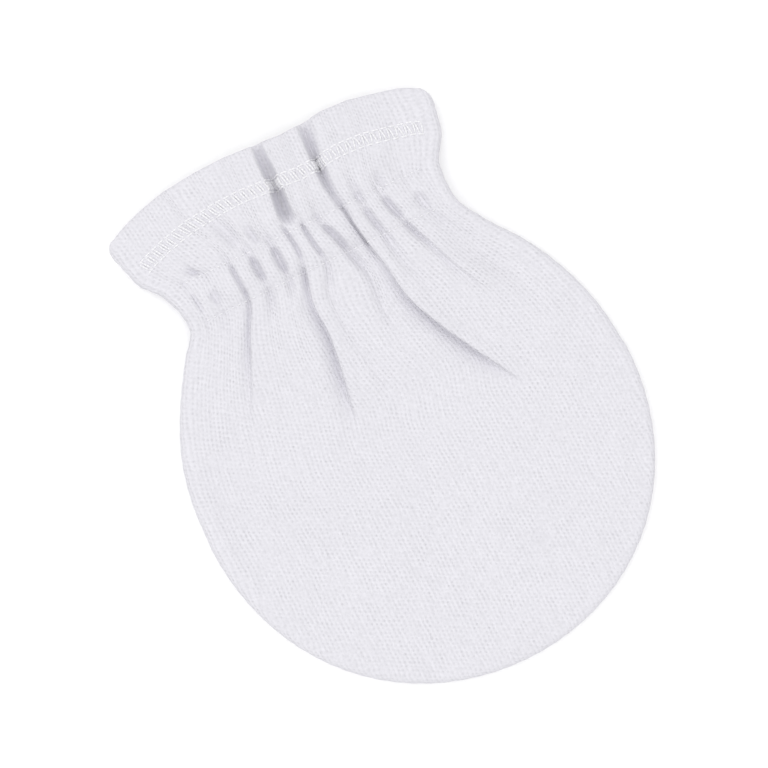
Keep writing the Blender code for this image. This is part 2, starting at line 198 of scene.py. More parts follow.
# The folds, listed one by one. line: the one each follows (a share lies between two lines). top,
# end:
# the heights it runs between. thin: its size at the top, as a share, and full: the height where
# it reaches its own. fade: how far it takes to run out downwards. left, right: reach of its
# flanks. narrow: how much narrower it is at its top (or at its end, if below 0). steep: how
# hollow its left and right flanks are. ridge: height of the roll beside it, to the right.
FOLDS = table(
    "line top full thin end fade depth left right narrow steep ridge",
    cuff_left=(6.5, 53.5, 47, 0.6, 35.2, 4, 3.2, 1.45, 1.35, 0.35, (0.75, 0.75), 0),
    cuff_pocket=(6.5, 47, 41.5, 0, 35.6, 4, 1.3, 1.3, 1.2, 0.3, (0.9, 0.9), 0),
    cuff_right=(9, 53.5, 47, 0.6, 30, 14, 3.1, 0.95, 1.9, -0.65, (0.7, 1), 0.1),
    cuff_soft=(3.7, 47, 39, 0, 35.4, 3, 1.5, 1.9, 1.5, 0, (1.6, 1.1), 0),
    cuff_nick=(4.6, 41, 37.5, 0, 35.2, 1.5, 1.5, 1.4, 0.6, 0, (1.6, 1.1), 0.1),
    cuff_slant=(1.9, 39.5, 37, 0, 35, 1.5, 1.1, 1.6, 0.7, 0, (1.6, 1.1), 0.1),
    cuff_wing=(10.1, 41, 36.5, 0, 33.2, 2, 0.8, 1.4, 0.7, 0, (1.6, 1.1), 0.1),
    cuff_fan=(11.15, 40, 36, 0, 34.2, 2, 1.2, 0.7, 1.4, 0, (1.6, 1.1), 0),
    long=(9, 34, 9, 0.3, -9.5, 12, 2.3, 6.4, 0.75, 0.5, (2.5, 1.1), 0.8),
    short=(6, 30, 15, 0.45, -4, 13, 2.2, 4.6, 0.75, 0.4, (2.5, 1.1), 0.4),
    left=(3, 30, 20, 0.25, 4, 18, 1.4, 4, 0.8, 0.3, (2.4, 1.1), 0.4),
    left_shade=(2.5, 18, 4, 0, -34, 24, 1.1, 9, 6, 0, (1.6, 1.1), 0),
    middle=(8, 30, 24, 0.5, 6, 12, 1, 2, 5.5, 0.3, (1.6, 1.1), 0),
    middle_line=(7, 29, 20, 0.5, -8, 10, 0.45, 1.4, 2.2, 0.2, (1.6, 1.1), 0.1),
    near=(10, 30, 24, 0.5, 13, 9, 0.6, 2, 1.2, 0.2, (1.8, 1.1), 0.1),
    right=(11, 30, 24, 0.3, 7, 12, 0.8, 2.4, 0.8, 0.3, (2.2, 1.1), 0.3),
    right_edge=(12.2, 28, 20, 0.3, 5, 12, 0.6, 4, 2.4, 0, (1.8, 1.1), 0),
)


def smooth(heights, values, at):
    """A smooth curve through table points: cubic spans whose slopes come from the neighbours."""
    order = np.argsort(heights)
    known = np.asarray(heights, float)[order]
    value = np.asarray(values, float)[order]
    slope = np.gradient(value, known)
    at = np.clip(at, known[0], known[-1])
    i = np.clip(np.searchsorted(known, at) - 1, 0, len(known) - 2)
    span = known[i + 1] - known[i]
    t = (at - known[i]) / span
    bend = t * (1 - t) * span * (slope[i] * (1 - t) - slope[i + 1] * t)
    return value[i] + t * t * (3 - 2 * t) * (value[i + 1] - value[i]) + bend


def ease(value, start, stop):
    """0 before start, 1 after stop and smooth between them; start may be the larger."""
    t = np.clip((value - start) / (stop - start), 0, 1)
    return t * t * (3 - 2 * t)


def hump(value, middle, reach):
    """A bell: 1 at the middle, a third at reach from it."""
    return np.exp(-((value - middle) / reach) ** 2)


def line_x(lane, height):
    """x at any lane and height, between two lines by the share of the way between them."""
    lane, height = np.broadcast_arrays(np.asarray(lane, float), np.asarray(height, float))
    table = np.array([smooth(LINE_HEIGHTS, row, height) for row in LINE_TABLE])
    whole = np.clip(np.floor(lane).astype(int), 0, LAST_LANE - 1)
    share = lane - whole
    first = np.take_along_axis(table, whole[None], 0)[0]
    second = np.take_along_axis(table, whole[None] + 1, 0)[0]
    return first * (1 - share) + second * share


def by_line(key, lane):
    """One of LINES' named numbers at any lane."""
    return np.interp(lane, np.arange(LAST_LANE + 1), [line[key] for line in LINES.values()])


def section(key, height):
    """One of SECTIONS' levels at any height."""
    return smooth(SECTION_HEIGHTS, SECTIONS[key], height)


def row_y(lane, level):
    """y of a row above the widest line: level in the pouch, along the cuff's edge in the cuff."""
    edge_y = by_line("edge", lane)
    squeeze = (edge_y - (CUFF_TOP - EVEN_CUFF) - UPPER_ROW) / (EVEN_CUFF - UPPER_ROW)
    eased = UPPER_ROW + (level - UPPER_ROW) * squeeze
    y = np.where(level > EVEN_CUFF, edge_y - (CUFF_TOP - level), eased)
    return np.where(level > UPPER_ROW, y, level)


def side_x(lane, height):
    """The turned edge's x on one side: the outline moved in by the rim, square to it."""
    step = 1.0
    above, below = np.minimum(height + step, CUFF_TOP), height - step
    slope = (line_x(lane, above) - line_x(lane, below)) / (row_y(lane, above) - row_y(lane, below))
    return line_x(lane, height) + np.where(lane > 0, -RIM, RIM) * np.hypot(1, slope)


def place(lane, height):
    """x, y and the distance from the turned edge of a point of a panel.

    Down to the widest line, rows are level and lie between the two sides. In the cuff they run
    at an even distance from its curved edge, then ease to the level row of stitching. Below the
    widest line, a square of lanes and heights is bent into the half ellipse:
    across = side * sqrt(1 - share^2 / 2) and down = share * sqrt(1 - side^2 / 2).
    """
    lane, height = np.broadcast_arrays(np.asarray(lane, float), np.asarray(height, float))
    level = np.maximum(height, WIDEST_Y)
    first, last = np.zeros_like(lane), np.full_like(lane, LAST_LANE)
    left_in, right_in = side_x(first, level), side_x(last, level)
    from_left, from_right = (np.clip(1 - far / RIM_LANES, 0, 1) ** 2
                             for far in (lane, last - lane))
    x = line_x(lane, level) + (left_in - line_x(first, level)) * from_left
    x += (right_in - line_x(last, level)) * from_right
    y = row_y(lane, level)
    reach = HALF_WIDTH - RIM
    side = x / reach
    down = np.clip((WIDEST_Y - height) / DROP, 0, 1)
    across_low = side * np.sqrt(1 - down ** 2 / 2)
    down_low = down * np.sqrt(1 - np.clip(side, -1, 1) ** 2 / 2)
    x_low = reach * across_low * (1 + FULLNESS * down_low ** 2) + TIP_LEAN * down_low
    low = height < WIDEST_Y
    edge = np.where(low, (1 - np.hypot(across_low, down_low)) * reach,
                    np.minimum(x - left_in, right_in - x))
    return np.where(low, x_low, x), np.where(low, WIDEST_Y - (DROP - RIM) * down_low, y), edge


def uneven(x, y, size):
    """Gentle waves with no plain repeat, between -1 and 1: slanted sines of unlike lengths."""
    waves = ((1.0, 0.31, 0.4), (-0.42, 0.87, 1.9), (0.61, -1.13, 3.1), (1.37, 0.92, 5.2))
    total = sum(np.sin((a * x + b * y) * 2 * np.pi / size + c) for a, b, c in waves)
    return total / len(waves)


def gather(lane, height):
    """0 to 1: how deep the drawn-in cloth is.

    Between the rows of stitching each line is an oval trough with steep sides, narrowing to
    both rows, and the rib between two lines is a low arch. Past the rows the troughs fan out.
    """
    nearest = np.round(lane)
    away = np.abs(line_x(lane, height) - line_x(nearest, height))
    deep, wide = by_line("deep", nearest), by_line("wide", nearest)
    inside = np.minimum(UPPER_ROW - height, height - LOWER_ROW)
    high, low = by_line("high", nearest), by_line("low", nearest)
    oval = ease(np.minimum(high - height, height - low), 0, 2.2)
    trough = oval * np.exp(-(away / (wide * (0.35 + 0.65 * oval))) ** 2.6)
    up, down = by_line("up", nearest), by_line("down", nearest)
    fan = ease(height, UPPER_ROW + up, UPPER_ROW) * ease(height, LOWER_ROW - down, LOWER_ROW)
    past = np.maximum(-inside, 0)
    spread = 0.4 * fan * np.exp(-(away / (0.8 * wide + 0.15 + 0.07 * past)) ** 2)
    arch = 0.28 * (2 * np.abs(lane - nearest) - 1) ** 2 * fan
    arch = arch * ease(height, UPPER_ROW + 2, UPPER_ROW - 1)
    return deep * (np.maximum(trough, spread * ease(-inside, -1.5, 0.8)) * 0.84 + arch)


def fold_shape(x, height):
    """Height that the listed folds take away, and how far the rolls beside them lean over.

    A fold's section is a V with hollow flanks, a power of one less the share of its reach. Its
    roll is a bell to the right of it, and leans left over the fold.
    """
    total, over = np.zeros_like(x), np.zeros_like(x)
    for fold in FOLDS.values():
        middle = line_x(fold["line"], np.maximum(height, WIDEST_Y))
        away = x - middle
        grown = fold["thin"] + (1 - fold["thin"]) * ease(height, fold["top"], fold["full"])
        run = grown * ease(height, fold["end"], fold["end"] + fold["fade"])
        run = run * ease(height, fold["top"], fold["top"] - 3)
        start = min(fold["top"], CUFF_TOP)
        down = np.clip((start - height) / (start - fold["end"]), 0, 1)
        width = 1 - abs(fold["narrow"]) * (1 - down if fold["narrow"] > 0 else down)
        reach = np.where(away < 0, fold["left"], fold["right"]) * width
        steep = np.where(away < 0, *fold["steep"])
        share = np.sqrt((away / reach) ** 2 + 0.01) - 0.1
        total += fold["depth"] * run * np.clip(1 - share, 0, 1) ** steep
        total -= fold["ridge"] * run * hump(away, fold["right"] + 0.7, fold["right"] + 0.7)
        lean = 1.4 * fold["ridge"] * run * hump(away, fold["right"], 2.2)
        over += lean * ease(away, 0, fold["right"])
    return total, over


class StitchRow:
    """A row of even stitches along one height of a face, measured on the cloth itself."""

    def __init__(self, face, height, pitch):
        lanes = np.linspace(0.04, LAST_LANE - 0.04, 2400)
        points = face(lanes, np.full_like(lanes, height))
        self.lanes = lanes
        self.counts = run_along(points) / pitch
        self.total = int(self.counts[-1])

    def lane(self, count):
        return np.interp(count, self.counts, self.lanes)

    def count(self, lane):
        return np.interp(lane, self.lanes, self.counts)


def mm(name):
    """One of the mitten's sizes, in millimetres."""
    return getattr(bpy.context.scene.mitten, name) / MM


def front_base(lane, height):
    """The front's outer face before its stitching: shelf, dome, folds and gathers, added up."""
    x, y, edge = place(lane, height)
    rim, middle = section("rim", height), section("middle", height)
    inside = ease(edge, *BORDER)
    z = rim + (middle - rim) * ease(edge, *SHELF)
    swell = hump(x, SWELL["x"], SWELL["reach"]) * ease(height, SWELL["start"], SWELL["full"])
    z += SWELL["rise"] * swell
    drop, over = fold_shape(x, height)
    z -= inside * drop
    z -= inside * mm("gather_depth") * gather(lane, height)
    (slow, length), (quick, short) = WAVES
    z += slow * inside * uneven(x, y, length) + quick * inside * uneven(y, x, short)
    depth, *dip = RING
    z -= depth * hump(edge, *dip) * ease(height, 20, 5) * ease(x - y, 5, -25)
    return np.stack([x - inside * over, y, z], -1)


def back_base(lane, height):
    """The back's outer face: pressed flat on the surface, with shallow gathers at the wrist."""
    x, y, edge = place(lane, height)
    shifted = lane + 0.37 + 0.2 * np.sin(lane * 1.7)
    z = mm("back_gather_depth") * gather(shifted, height) * ease(edge, *BORDER)
    fan = hump(np.sin(lane * 2.3 + 0.6), 1.0, 0.5) * ease(height, 8, 22) * ease(height, 32, 27)
    lower, upper = BACK_HEM_SPAN
    band = ease(height, *lower) * ease(height, *upper) * ease(edge, -0.3, 0.9)
    rows = hump(height, UPPER_ROW, 0.9) + hump(height, LOWER_ROW, 0.9)
    z = z + BACK_FAN_RISE * fan * ease(edge, 1, 6) + BACK_HEM_RISE * band + BACK_ROW_RISE * rows
    return np.stack([x, y, z], -1)


# Each face's name, its shape before stitching, and whether up (1) or down (-1) is outwards
FACES = (("front", front_base, 1), ("back", back_base, -1))


def stitched(base, outwards):
    """A face pressed in along its rows of stitching, deepest where each stitch goes through."""
    rows = [(StitchRow(base, row["height"], row["pitch"]), row) for row in STITCH_ROWS.values()]

    def face(lane, height):
        points = base(lane, height)
        for line, row in rows:
            pull = 0.5 + 0.5 * np.cos(2 * np.pi * line.count(lane))
            near = hump(height, row["height"], row["reach"])
            near = near * ease(lane, 0.1, 0.6) * ease(LAST_LANE - lane, 0.1, 0.6)
            points[..., 2] -= outwards * near * (row["groove"] + row["dimple"] * pull)
        return points
    return face


def unit(vectors):
    """Vectors of the same directions, each of length 1."""
    return vectors / np.linalg.norm(vectors, axis=-1, keepdims=True)


def run_along(path):
    """How far each point of a path lies from its start, measured along it."""
    return np.concatenate([[0], np.cumsum(np.linalg.norm(np.diff(path, axis=0), axis=1))])


def outwards_of(way):
    """Level vectors a quarter turn to the right of a path's direction, which is outwards."""
    return unit(np.stack([way[:, 1], -way[:, 0]], -1))


def numbered(points, start=0):
    """The vertex numbers of a grid of points."""
    return start + np.arange(points[..., 0].size).reshape(points.shape[:2])


def normals_of(grid):
    """Unit normals of a grid of points, from the cross of its two slopes."""
    normal = np.cross(np.gradient(grid, axis=1), -np.gradient(grid, axis=0))
    return normal / np.maximum(np.linalg.norm(normal, axis=-1, keepdims=True), 1e-9)


def normal_on(face, lane, height):
    """Unit normals of a face at any points, from its slopes along lane and height."""
    step = 0.04
    along = face(lane + step, height) - face(lane - step, height)
    up = face(lane, height + step) - face(lane, height - step)
    return unit(np.cross(along, up))


def grid_faces(index):
    """Four-sided faces of a grid of vertex numbers, top row first and left column first."""
    corners = (index[:-1, :-1], index[1:, :-1], index[1:, 1:], index[:-1, 1:])
    return np.stack(corners, -1).reshape(-1, 4)


def mitten_origin():
    """Where the mitten's own axes start, read from the CAD box of its front panel."""
    low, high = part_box("front_panel")
    return np.array([low.x + HALF_WIDTH * MM, low.y - TIP * MM, 0.0])


def add_piece(name, points, faces, cuts=None):
    """A mesh object from arrays of points in millimetres and faces; cuts become its UV map."""
    mesh = bpy.data.meshes.new(name)
    places = (np.reshape(points, (-1, 3)) * MM + mitten_origin()).astype(np.float32)
    faces = np.ascontiguousarray(faces, np.int32)
    mesh.vertices.add(len(places))
    mesh.vertices.foreach_set("co", places.ravel())
    mesh.loops.add(faces.size)
    mesh.loops.foreach_set("vertex_index", faces.ravel())
    mesh.polygons.add(len(faces))
    starts = np.arange(0, faces.size, faces.shape[1], dtype=np.int32)
    mesh.polygons.foreach_set("loop_start", starts)
    mesh.update(calc_edges=True)
    if mesh.validate():
        raise RuntimeError(f"{name}: its mesh has stray faces")
    mesh.shade_smooth()
    if cuts is not None:
        layer = mesh.uv_layers.new(name="cut")
        cuts = np.reshape(cuts, (-1, 2)).astype(np.float32)
        layer.uv.foreach_set("vector", cuts[faces.ravel()].ravel())
    piece = bpy.data.objects.new(name, mesh)
    bpy.context.collection.objects.link(piece)
    return piece


def panel_rows():
    """Heights of a panel's rows, closer together at the hem, the wrist and the folds."""
    spans = ((CUFF_TOP - mm("fold_radius"), 43.5, 26), (43.5, 36.5, 18), (36.5, 25.5, 44),
             (25.5, 0, 50), (0, WIDEST_Y, 14), (WIDEST_Y, TIP, 44))
    parts = [np.linspace(start, stop, count, endpoint=False) for start, stop, count in spans]
    return np.concatenate(parts + [[TIP]])


def cut_places(grid, rows):
    """Where each point of a panel lay in the flat cut, in millimetres.

    Above the widest line it is the point's share of its row, measured along the folded cloth,
    times the cut's width there. At the wrist and above, the share is the one it has on average
    between the rows of stitching. Below the widest line the cloth lies flat, so it is the
    point's own place.
    """
    steps = np.linalg.norm(np.diff(grid, axis=1), axis=2)
    along = np.concatenate([np.zeros((len(grid), 1)), np.cumsum(steps, axis=1)], axis=1)
    share = along / along[:, -1:] - 0.5
    drawn_in = share[(rows < UPPER_ROW) & (rows > LOWER_ROW)].mean(axis=0)
    share += (drawn_in - share) * ease(rows, 2, LOWER_ROW)[:, None]
    pouch = 2 * (HALF_WIDTH - RIM)
    width = pouch + ease(rows, WIDEST_Y, LOWER_ROW) * (mm("cut_width") - 2 * RIM - pouch)
    mix = ease(rows, WIDEST_Y - 12, WIDEST_Y)[:, None]
    x = share * width[:, None] * mix + grid[..., 0] * (1 - mix)
    return np.stack([x, grid[..., 1]], -1)


def corner_drop(x, height):
    """How far the cuff's edge falls away at its two rounded corners, each a quarter circle."""
    total = np.zeros_like(x)
    for lane, radius, way in CORNERS:
        side = line_x(lane % (LAST_LANE + 1), np.maximum(height, WIDEST_Y))
        near = np.clip(radius - (x - side) * way, 0, radius)
        total += (radius - np.sqrt(radius ** 2 - near ** 2 * 0.98)) * ease(height, 46, 51)
    return total


def rim_strip(points, cuts, border, height):
    """Rings that carry a panel's border out to the side seam, and where they lay in the cut.

    The section is a quarter of a squared ellipse, square to the border. The last ring is drawn
    in a little, so the seam is a fine groove, and the edge is puckered a little by its stitches.
    """
    path = points[border]
    way = unit(np.gradient(path[:, :2], axis=0))
    nearby = np.clip(np.arange(len(border))[:, None] + np.arange(-5, 6), 0, len(border) - 1)
    away = outwards_of(way[nearby].mean(axis=1))
    seam = section("seam", height)
    wave = 0.5 + 0.5 * np.cos(2 * np.pi * run_along(path) / PUCKER_PITCH)
    turns = np.linspace(0, np.pi / 2, RIM_RINGS + 1)[1:]
    across, down = np.sin(turns) ** RIM_SQUARE, np.abs(np.cos(turns)) ** RIM_SQUARE
    reach = RIM * across - SEAM_TUCK * (turns == turns[-1])
    reach = reach[:, None] - PUCKER_DEPTH * across[:, None] * wave
    level = seam + (path[:, 2] - seam) * down[:, None]
    rings = path[None, :, :2] + away * reach[..., None]
    rings = np.concatenate([rings, level[..., None]], axis=2)
    return rings, cuts[border] + away * (RIM * turns)[:, None, None]


def panel(name, face, outwards):
    """One panel as a thin wall: its face, the strip down to the seam, and the turned hem.

    The hem leaves the face in a half circle over the cuff's edge and runs back under it at an
    even distance, the fold's radius twice over, to its raw edge below the stitching.
    """
    rows = panel_rows()
    lanes = np.linspace(0, LAST_LANE, LAST_LANE * bpy.context.scene.mitten.columns + 1)
    lanes -= 0.09 * np.sin(2 * np.pi * lanes)
    grid = face(lanes[None, :], rows[:, None])
    index = numbered(grid)
    points, cuts = grid.reshape(-1, 3), cut_places(grid, rows).reshape(-1, 2)
    border = np.concatenate([index[:, 0], index[-1, 1:], index[-2::-1, -1]])
    height = np.concatenate([rows, np.full(len(lanes) - 1, TIP), rows[-2::-1]])
    rings, ring_cuts = rim_strip(points, cuts, border, height)
    strip = np.concatenate([border[None], numbered(rings, len(points))])
    points = np.concatenate([points, rings.reshape(-1, 3)])
    level = np.concatenate([np.repeat(rows, len(lanes)), np.tile(height, RIM_RINGS)])
    points[:, 1] -= corner_drop(points[:, 0], level)
    cuts = np.concatenate([cuts, ring_cuts.reshape(-1, 2)])

    tall, count = int(np.searchsorted(-rows, -(CUFF_TOP - HEM_DEPTH))), len(rows)
    wide = [strip[:0:-1, :count].T, index, strip[1:, -1:-count - 1:-1].T]
    wide = np.concatenate(wide, axis=1)[:tall]
    layer, layer_cuts = points[wide], cuts[wide]
    side = np.arange(wide.shape[1])
    upright = 2.5 * ease(np.minimum(side, side[::-1]), RIM_RINGS, RIM_RINGS + 10)[:, None]
    normal = unit(outwards * (normals_of(layer) + upright * (0, 0, 1)))
    radius = np.full((wide.shape[1], 1), mm("fold_radius"))
    over = layer[0] - layer[1]
    over = unit(over * (1, 1, 0))
    turns = np.linspace(0, np.pi, 9)[1:, None, None]
    bend = layer[0] + radius * (normal[0] * (np.cos(turns) - 1) + over * np.sin(turns))
    bend_cuts = layer_cuts[0] + np.concatenate([0 * radius, radius], axis=1) * turns
    under = layer[1:] - 2 * radius * normal[1:]
    under_cuts = layer_cuts[1:] * (1, -1) + (bend_cuts[-1] + layer_cuts[0]) * (0, 1)
    turned = np.concatenate([bend, under])
    hem = numbered(turned, len(points))
    points = np.concatenate([points, turned.reshape(-1, 3)])
    cuts = np.concatenate([cuts, np.concatenate([bend_cuts, under_cuts]).reshape(-1, 2)])

    grids = index, strip, np.concatenate([hem[::-1], wide[:1]])
    faces = np.concatenate([grid_faces(each) for each in grids])[:, ::int(outwards)]
    piece = add_piece(name, points, faces, cuts)
    wall = piece.modifiers.new("Wall", "SOLIDIFY")
    wall.thickness = mm("cloth_thickness") * MM
    wall.offset = -1
    spread = np.ptp(cuts, axis=0) * MM
    corners = cuts[faces]
    one, other = corners[:, 2] - corners[:, 0], corners[:, 3] - corners[:, 1]
    area = 0.5 * np.abs(one[:, 0] * other[:, 1] - one[:, 1] * other[:, 0]).sum() * MM ** 2
    return piece, tuple(float(size) for size in spread), float(area)


def threads(name, paths, up, radius, sides=6):
    """Stitches as round threads, each along its own path, all in one mesh.

    A ring of points is carried along every path at once. Each thread is thinner at its ends,
    where it goes down into the cloth, and closed there.
    """
    way = unit(np.gradient(paths, axis=1))
    across = unit(np.cross(way, up))
    out = np.cross(across, way)
    count, steps = paths.shape[:2]
    along = np.linspace(0, 1, steps)
    thick = radius * (0.4 + 0.6 * np.sqrt(np.sin(np.pi * along)))[:, None, None]
    turn = np.linspace(0, 2 * np.pi, sides, endpoint=False)[:, None] - np.pi / 2
    ring = across[:, :, None] * np.cos(turn) + out[:, :, None] * np.sin(turn)
    points = paths[:, :, None] + ring * thick
    index = np.arange(count * steps * sides).reshape(count, steps, sides)
    closed = np.concatenate([index, index[:, :, :1]], axis=2)
    corners = (closed[:, :-1, :-1], closed[:, :-1, 1:], closed[:, 1:, 1:], closed[:, 1:, :-1])
    ends = [index[:, 0, [0, 3, 2, 1]], index[:, 0, [0, 5, 4, 3]],
            index[:, -1, [0, 1, 2, 3]], index[:, -1, [0, 3, 4, 5]]]
    faces = np.concatenate([np.stack(corners, -1).reshape(-1, 4)] + ends)
    length = along * np.linalg.norm(paths[:, -1] - paths[:, 0], axis=1)[:, None]
    cuts = np.stack(np.broadcast_arrays(length[:, :, None], turn[:, 0] / (2 * np.pi)), -1)
    return add_piece(name, points, faces, cuts)


def laid_stitches(face, line, starts, ends, counts, arch, radius, outwards):
    """Paths of stitches on a face, each from a start to an end: a count's offset and a height."""
    t = np.linspace(0, 1, 9)
    first, last = ((counts + end[0])[:, None] for end in (starts, ends))
    place_along = first + (last - first) * t
    height = np.broadcast_to(starts[1] + (ends[1] - starts[1]) * t, place_along.shape)
    lane = line.lane(place_along)
    normal = normal_on(face, lane, height) * outwards
    lift = arch * np.sin(np.pi * t) - 1.2 * radius * np.cos(np.pi * t) ** 12
    return face(lane, height) + normal * lift[:, None], normal


def stadium(half_length, radius, steps=16):
    """A closed outline with two straight sides and half-round ends, in x and z."""
    turn = np.linspace(-np.pi / 2, np.pi / 2, steps + 1)
    right = np.stack([half_length - radius + radius * np.cos(turn), radius * np.sin(turn)], -1)
    straight = np.linspace(right[-1], -right[0], 24, endpoint=False)[1:]
    return np.concatenate([right, straight, -right, -straight])


class Finish:
    """A material being made: its node tree, and one way to add any node to it."""

    def __init__(self, name):
        self.material = bpy.data.materials.new(name)
        self.material.use_nodes = True
        self.tree = self.material.node_tree
        self.shader = self.tree.nodes["Principled BSDF"]

    def node(self, kind, settings=None, sockets=None):
        """Add a node of a kind, set its settings, then give its sockets values or links."""
        node = self.tree.nodes.new(kind)
        for key, value in (settings or {}).items():
            setattr(node, key, value)
        for key, value in (sockets or {}).items():
            self.give(node.inputs[key], value)
        return node

    def give(self, socket, value):
        """Link a socket to an expression or another socket, or set it to a plain value."""
        value = value.socket if isinstance(value, Value) else value
        if isinstance(value, bpy.types.NodeSocket):
            self.tree.links.new(value, socket)
        else:
            socket.default_value = value

    def value(self, node, output=0):
        return Value(self, node.outputs[output])

    def place_in_cut(self):
        """The two flat-cut coordinates of a piece, in millimetres."""
        cut = self.node("ShaderNodeUVMap", dict(uv_map="cut"))
        split = self.node("ShaderNodeSeparateXYZ", sockets={0: cut.outputs[0]})
        return self.value(split, 0), self.value(split, 1)

    def noise(self, size, detail=2.0):
        """Soft noise between 0 and 1, with lumps of a size in millimetres."""
        return self.noise_on(self.node("ShaderNodeTexCoord").outputs["Object"], size * MM, detail)

    def noise_at(self, x, y):
        """Soft noise between 0 and 1 on two expressions, with lumps about 1 across."""
        vector = self.node("ShaderNodeCombineXYZ", sockets={0: x, 1: y}).outputs[0]
        return self.noise_on(vector, 1, 1)

    def noise_on(self, vector, size, detail):
        sockets = {"Vector": vector, "Scale": 1 / size, "Detail": detail}
        return self.value(self.node("ShaderNodeTexNoise", sockets=sockets))

    def tint(self, share, colour, shade):
        """A colour, darkened to its shade (a brightness from 0 to 1) where the share is 0."""
        dark = [part * shade for part in colour]
        return self.node("ShaderNodeMix", dict(data_type="RGBA"),
                         {"Factor": share, "A": (*dark, 1), "B": (*colour, 1)}).outputs["Result"]

    def dress(self, colour, height, depth, **plain):
        """Feed the shader a colour and a relief, and set its plain values."""
        sockets = {"Height": height, "Distance": depth * MM, "Strength": 1.0}
        bump = self.node("ShaderNodeBump", sockets=sockets)
        self.give(self.shader.inputs["Base Color"], colour)
        self.give(self.shader.inputs["Normal"], bump.outputs[0])
        for key, value in plain.items():
            label = key.replace("_", " ").title().replace("Ior", "IOR")
            self.give(self.shader.inputs[label], value)
        return self.material


class Value:
    """A number that varies over a surface. Python's operators on it add Math nodes."""

    def __init__(self, finish, socket):
        self.finish, self.socket = finish, socket

    def maths(self, operation, *terms):
        settings, sockets = dict(operation=operation), dict(enumerate(terms))
        return self.finish.value(self.finish.node("ShaderNodeMath", settings, sockets))

    def __add__(self, other):
        return self.maths("ADD", self, other)

    def __sub__(self, other):
        return self.maths("SUBTRACT", self, other)

    def __rsub__(self, other):
        return self.maths("SUBTRACT", other, self)

    def __mul__(self, other):
        return self.maths("MULTIPLY", self, other)

    def __truediv__(self, other):
        return self.maths("DIVIDE", self, other)

    def __mod__(self, other):
        return self.maths("FLOORED_MODULO", self, other)

    def __pow__(self, other):
        return self.maths("POWER", self, other)

    def __abs__(self):
        return self.maths("ABSOLUTE", self)

    __radd__ = __add__
    __rmul__ = __mul__

    def wave(self):
        """A cosine wave between 0 and 1, one for each whole number."""
        return self.maths("COSINE", self * (2 * math.pi)) * 0.5 + 0.5

    def whole(self):
        return self.maths("FLOOR", self)

    def between(self, start, stop):
        """A share from 0 at start to 1 at stop, clamped."""
        sockets = {0: self, 1: start, 2: stop}
        return self.finish.value(self.finish.node("ShaderNodeMapRange", sockets=sockets))


def knit_relief(finish, wale, course):
    """Interlock's face: upright rows of loops, each wale half a loop out of step with the next.

    A wale's section is a rounded arch. Its loops are a cosine up the wale that bends down on both
    sides, as the two legs of a loop do. A small hollow lies between two wales at each loop. All
    of it is weaker in some patches. Some wales stand a little higher for a while, and the yarn's
    own fuzz is added.
    """
    x, y = finish.place_in_cut()
    across = x / wale + finish.noise(11.0) * 0.9 + finish.noise(2.2, 1.0) * 0.5
    up = y / course + finish.noise(7.0) * 0.9 + finish.noise(1.7, 1.0) * 0.6
    from_middle = abs(across % 1 - 0.5)
    stagger = (across.whole() % 2) * 0.5
    arch = 1 - (from_middle * 2) ** 2
    loops = (up + stagger - from_middle * 0.9).wave()
    hollow = across.wave() * (up + (across + 0.5).whole() * 0.5).wave()
    clear = finish.noise(2.4, 3.0).between(0.32, 0.66)
    streak = finish.noise_at(across * 0.9, up * 0.16)
    yarn = finish.noise(0.5, 2.0)
    loops_only = arch * 0.25 + arch * loops * 0.35 - hollow ** 1.5 * 0.65
    return loops_only * (clear * 0.65 + 0.35) + streak * 0.5 + yarn * 1.7


def cotton_finish(name):
    """White cotton interlock: matt, faintly fuzzy, its loops just visible, with painted shade in
    the low parts of the knit's relief.
    """
    mitten = bpy.context.scene.mitten
    finish = Finish(name)
    relief = knit_relief(finish, mm("wale_width"), mm("course_height"))
    blotch = finish.noise(9.0, 3.0) * 0.25
    # Partly painted shade: the cloth is darker where the knit's relief is low, in the hollows
    # between and in its loops; the blotch, streak and yarn noise in it give random tone
    share = (relief + blotch).between(0.4, 1.9)
    colour = finish.tint(share, mitten.cotton_colour, mitten.loop_painted_shade)
    return finish.dress(colour, relief, mm("loop_relief"), roughness=0.9, sheen_weight=0.12,
                        sheen_roughness=0.5, specular_ior_level=0.25)


def thread_finish(name):
    """White sewing thread: two plies twisted round each other, a little glossier than cloth, with
    painted shade in the grooves of the twist.
    """
    finish = Finish(name)
    length, around = finish.place_in_cut()
    twist = (length / 0.55 + around).wave()
    # Painted shade: the thread is darker where the twist's relief is low, in the grooves between
    # its plies
    colour = finish.tint(twist, bpy.context.scene.mitten.thread_colour, 0.9)
    return finish.dress(colour, twist, 0.05, roughness=0.6, sheen_weight=0.1,
                        specular_ior_level=0.4)


def tape_finish(name):
    """Knitted elastic tape: lengthwise rubber cords under crosswise yarns, with painted shade
    between the yarns and a random grain in its tone.
    """
    finish = Finish(name)
    along, across = finish.place_in_cut()
    yarns = (along / 0.6).wave() * (across / 1.0 + 0.5).wave()
    grain = finish.noise(0.4, 3.0)
    # Partly painted shade: darker where the yarns' relief is low, between them; the grain adds
    # random tone
    colour = finish.tint(yarns * 0.7 + grain * 0.3, bpy.context.scene.mitten.tape_colour, 0.86)
    return finish.dress(colour, yarns + grain * 0.3, 0.12, roughness=0.75, sheen_weight=0.08)


def floor_finish(name):
    """A plain pale surface, very slightly mottled."""
    finish = Finish(name)
    colour = finish.tint(finish.noise(60.0), bpy.context.scene.mitten_stage.floor_colour, 0.995)
    return finish.dress(colour, finish.noise(0.5), 0.005, roughness=0.85, specular_ior_level=0.2)


FINISHES = {"cotton_interlock": cotton_finish, "sewing_thread": thread_finish,
            "elastic_tape": tape_finish}


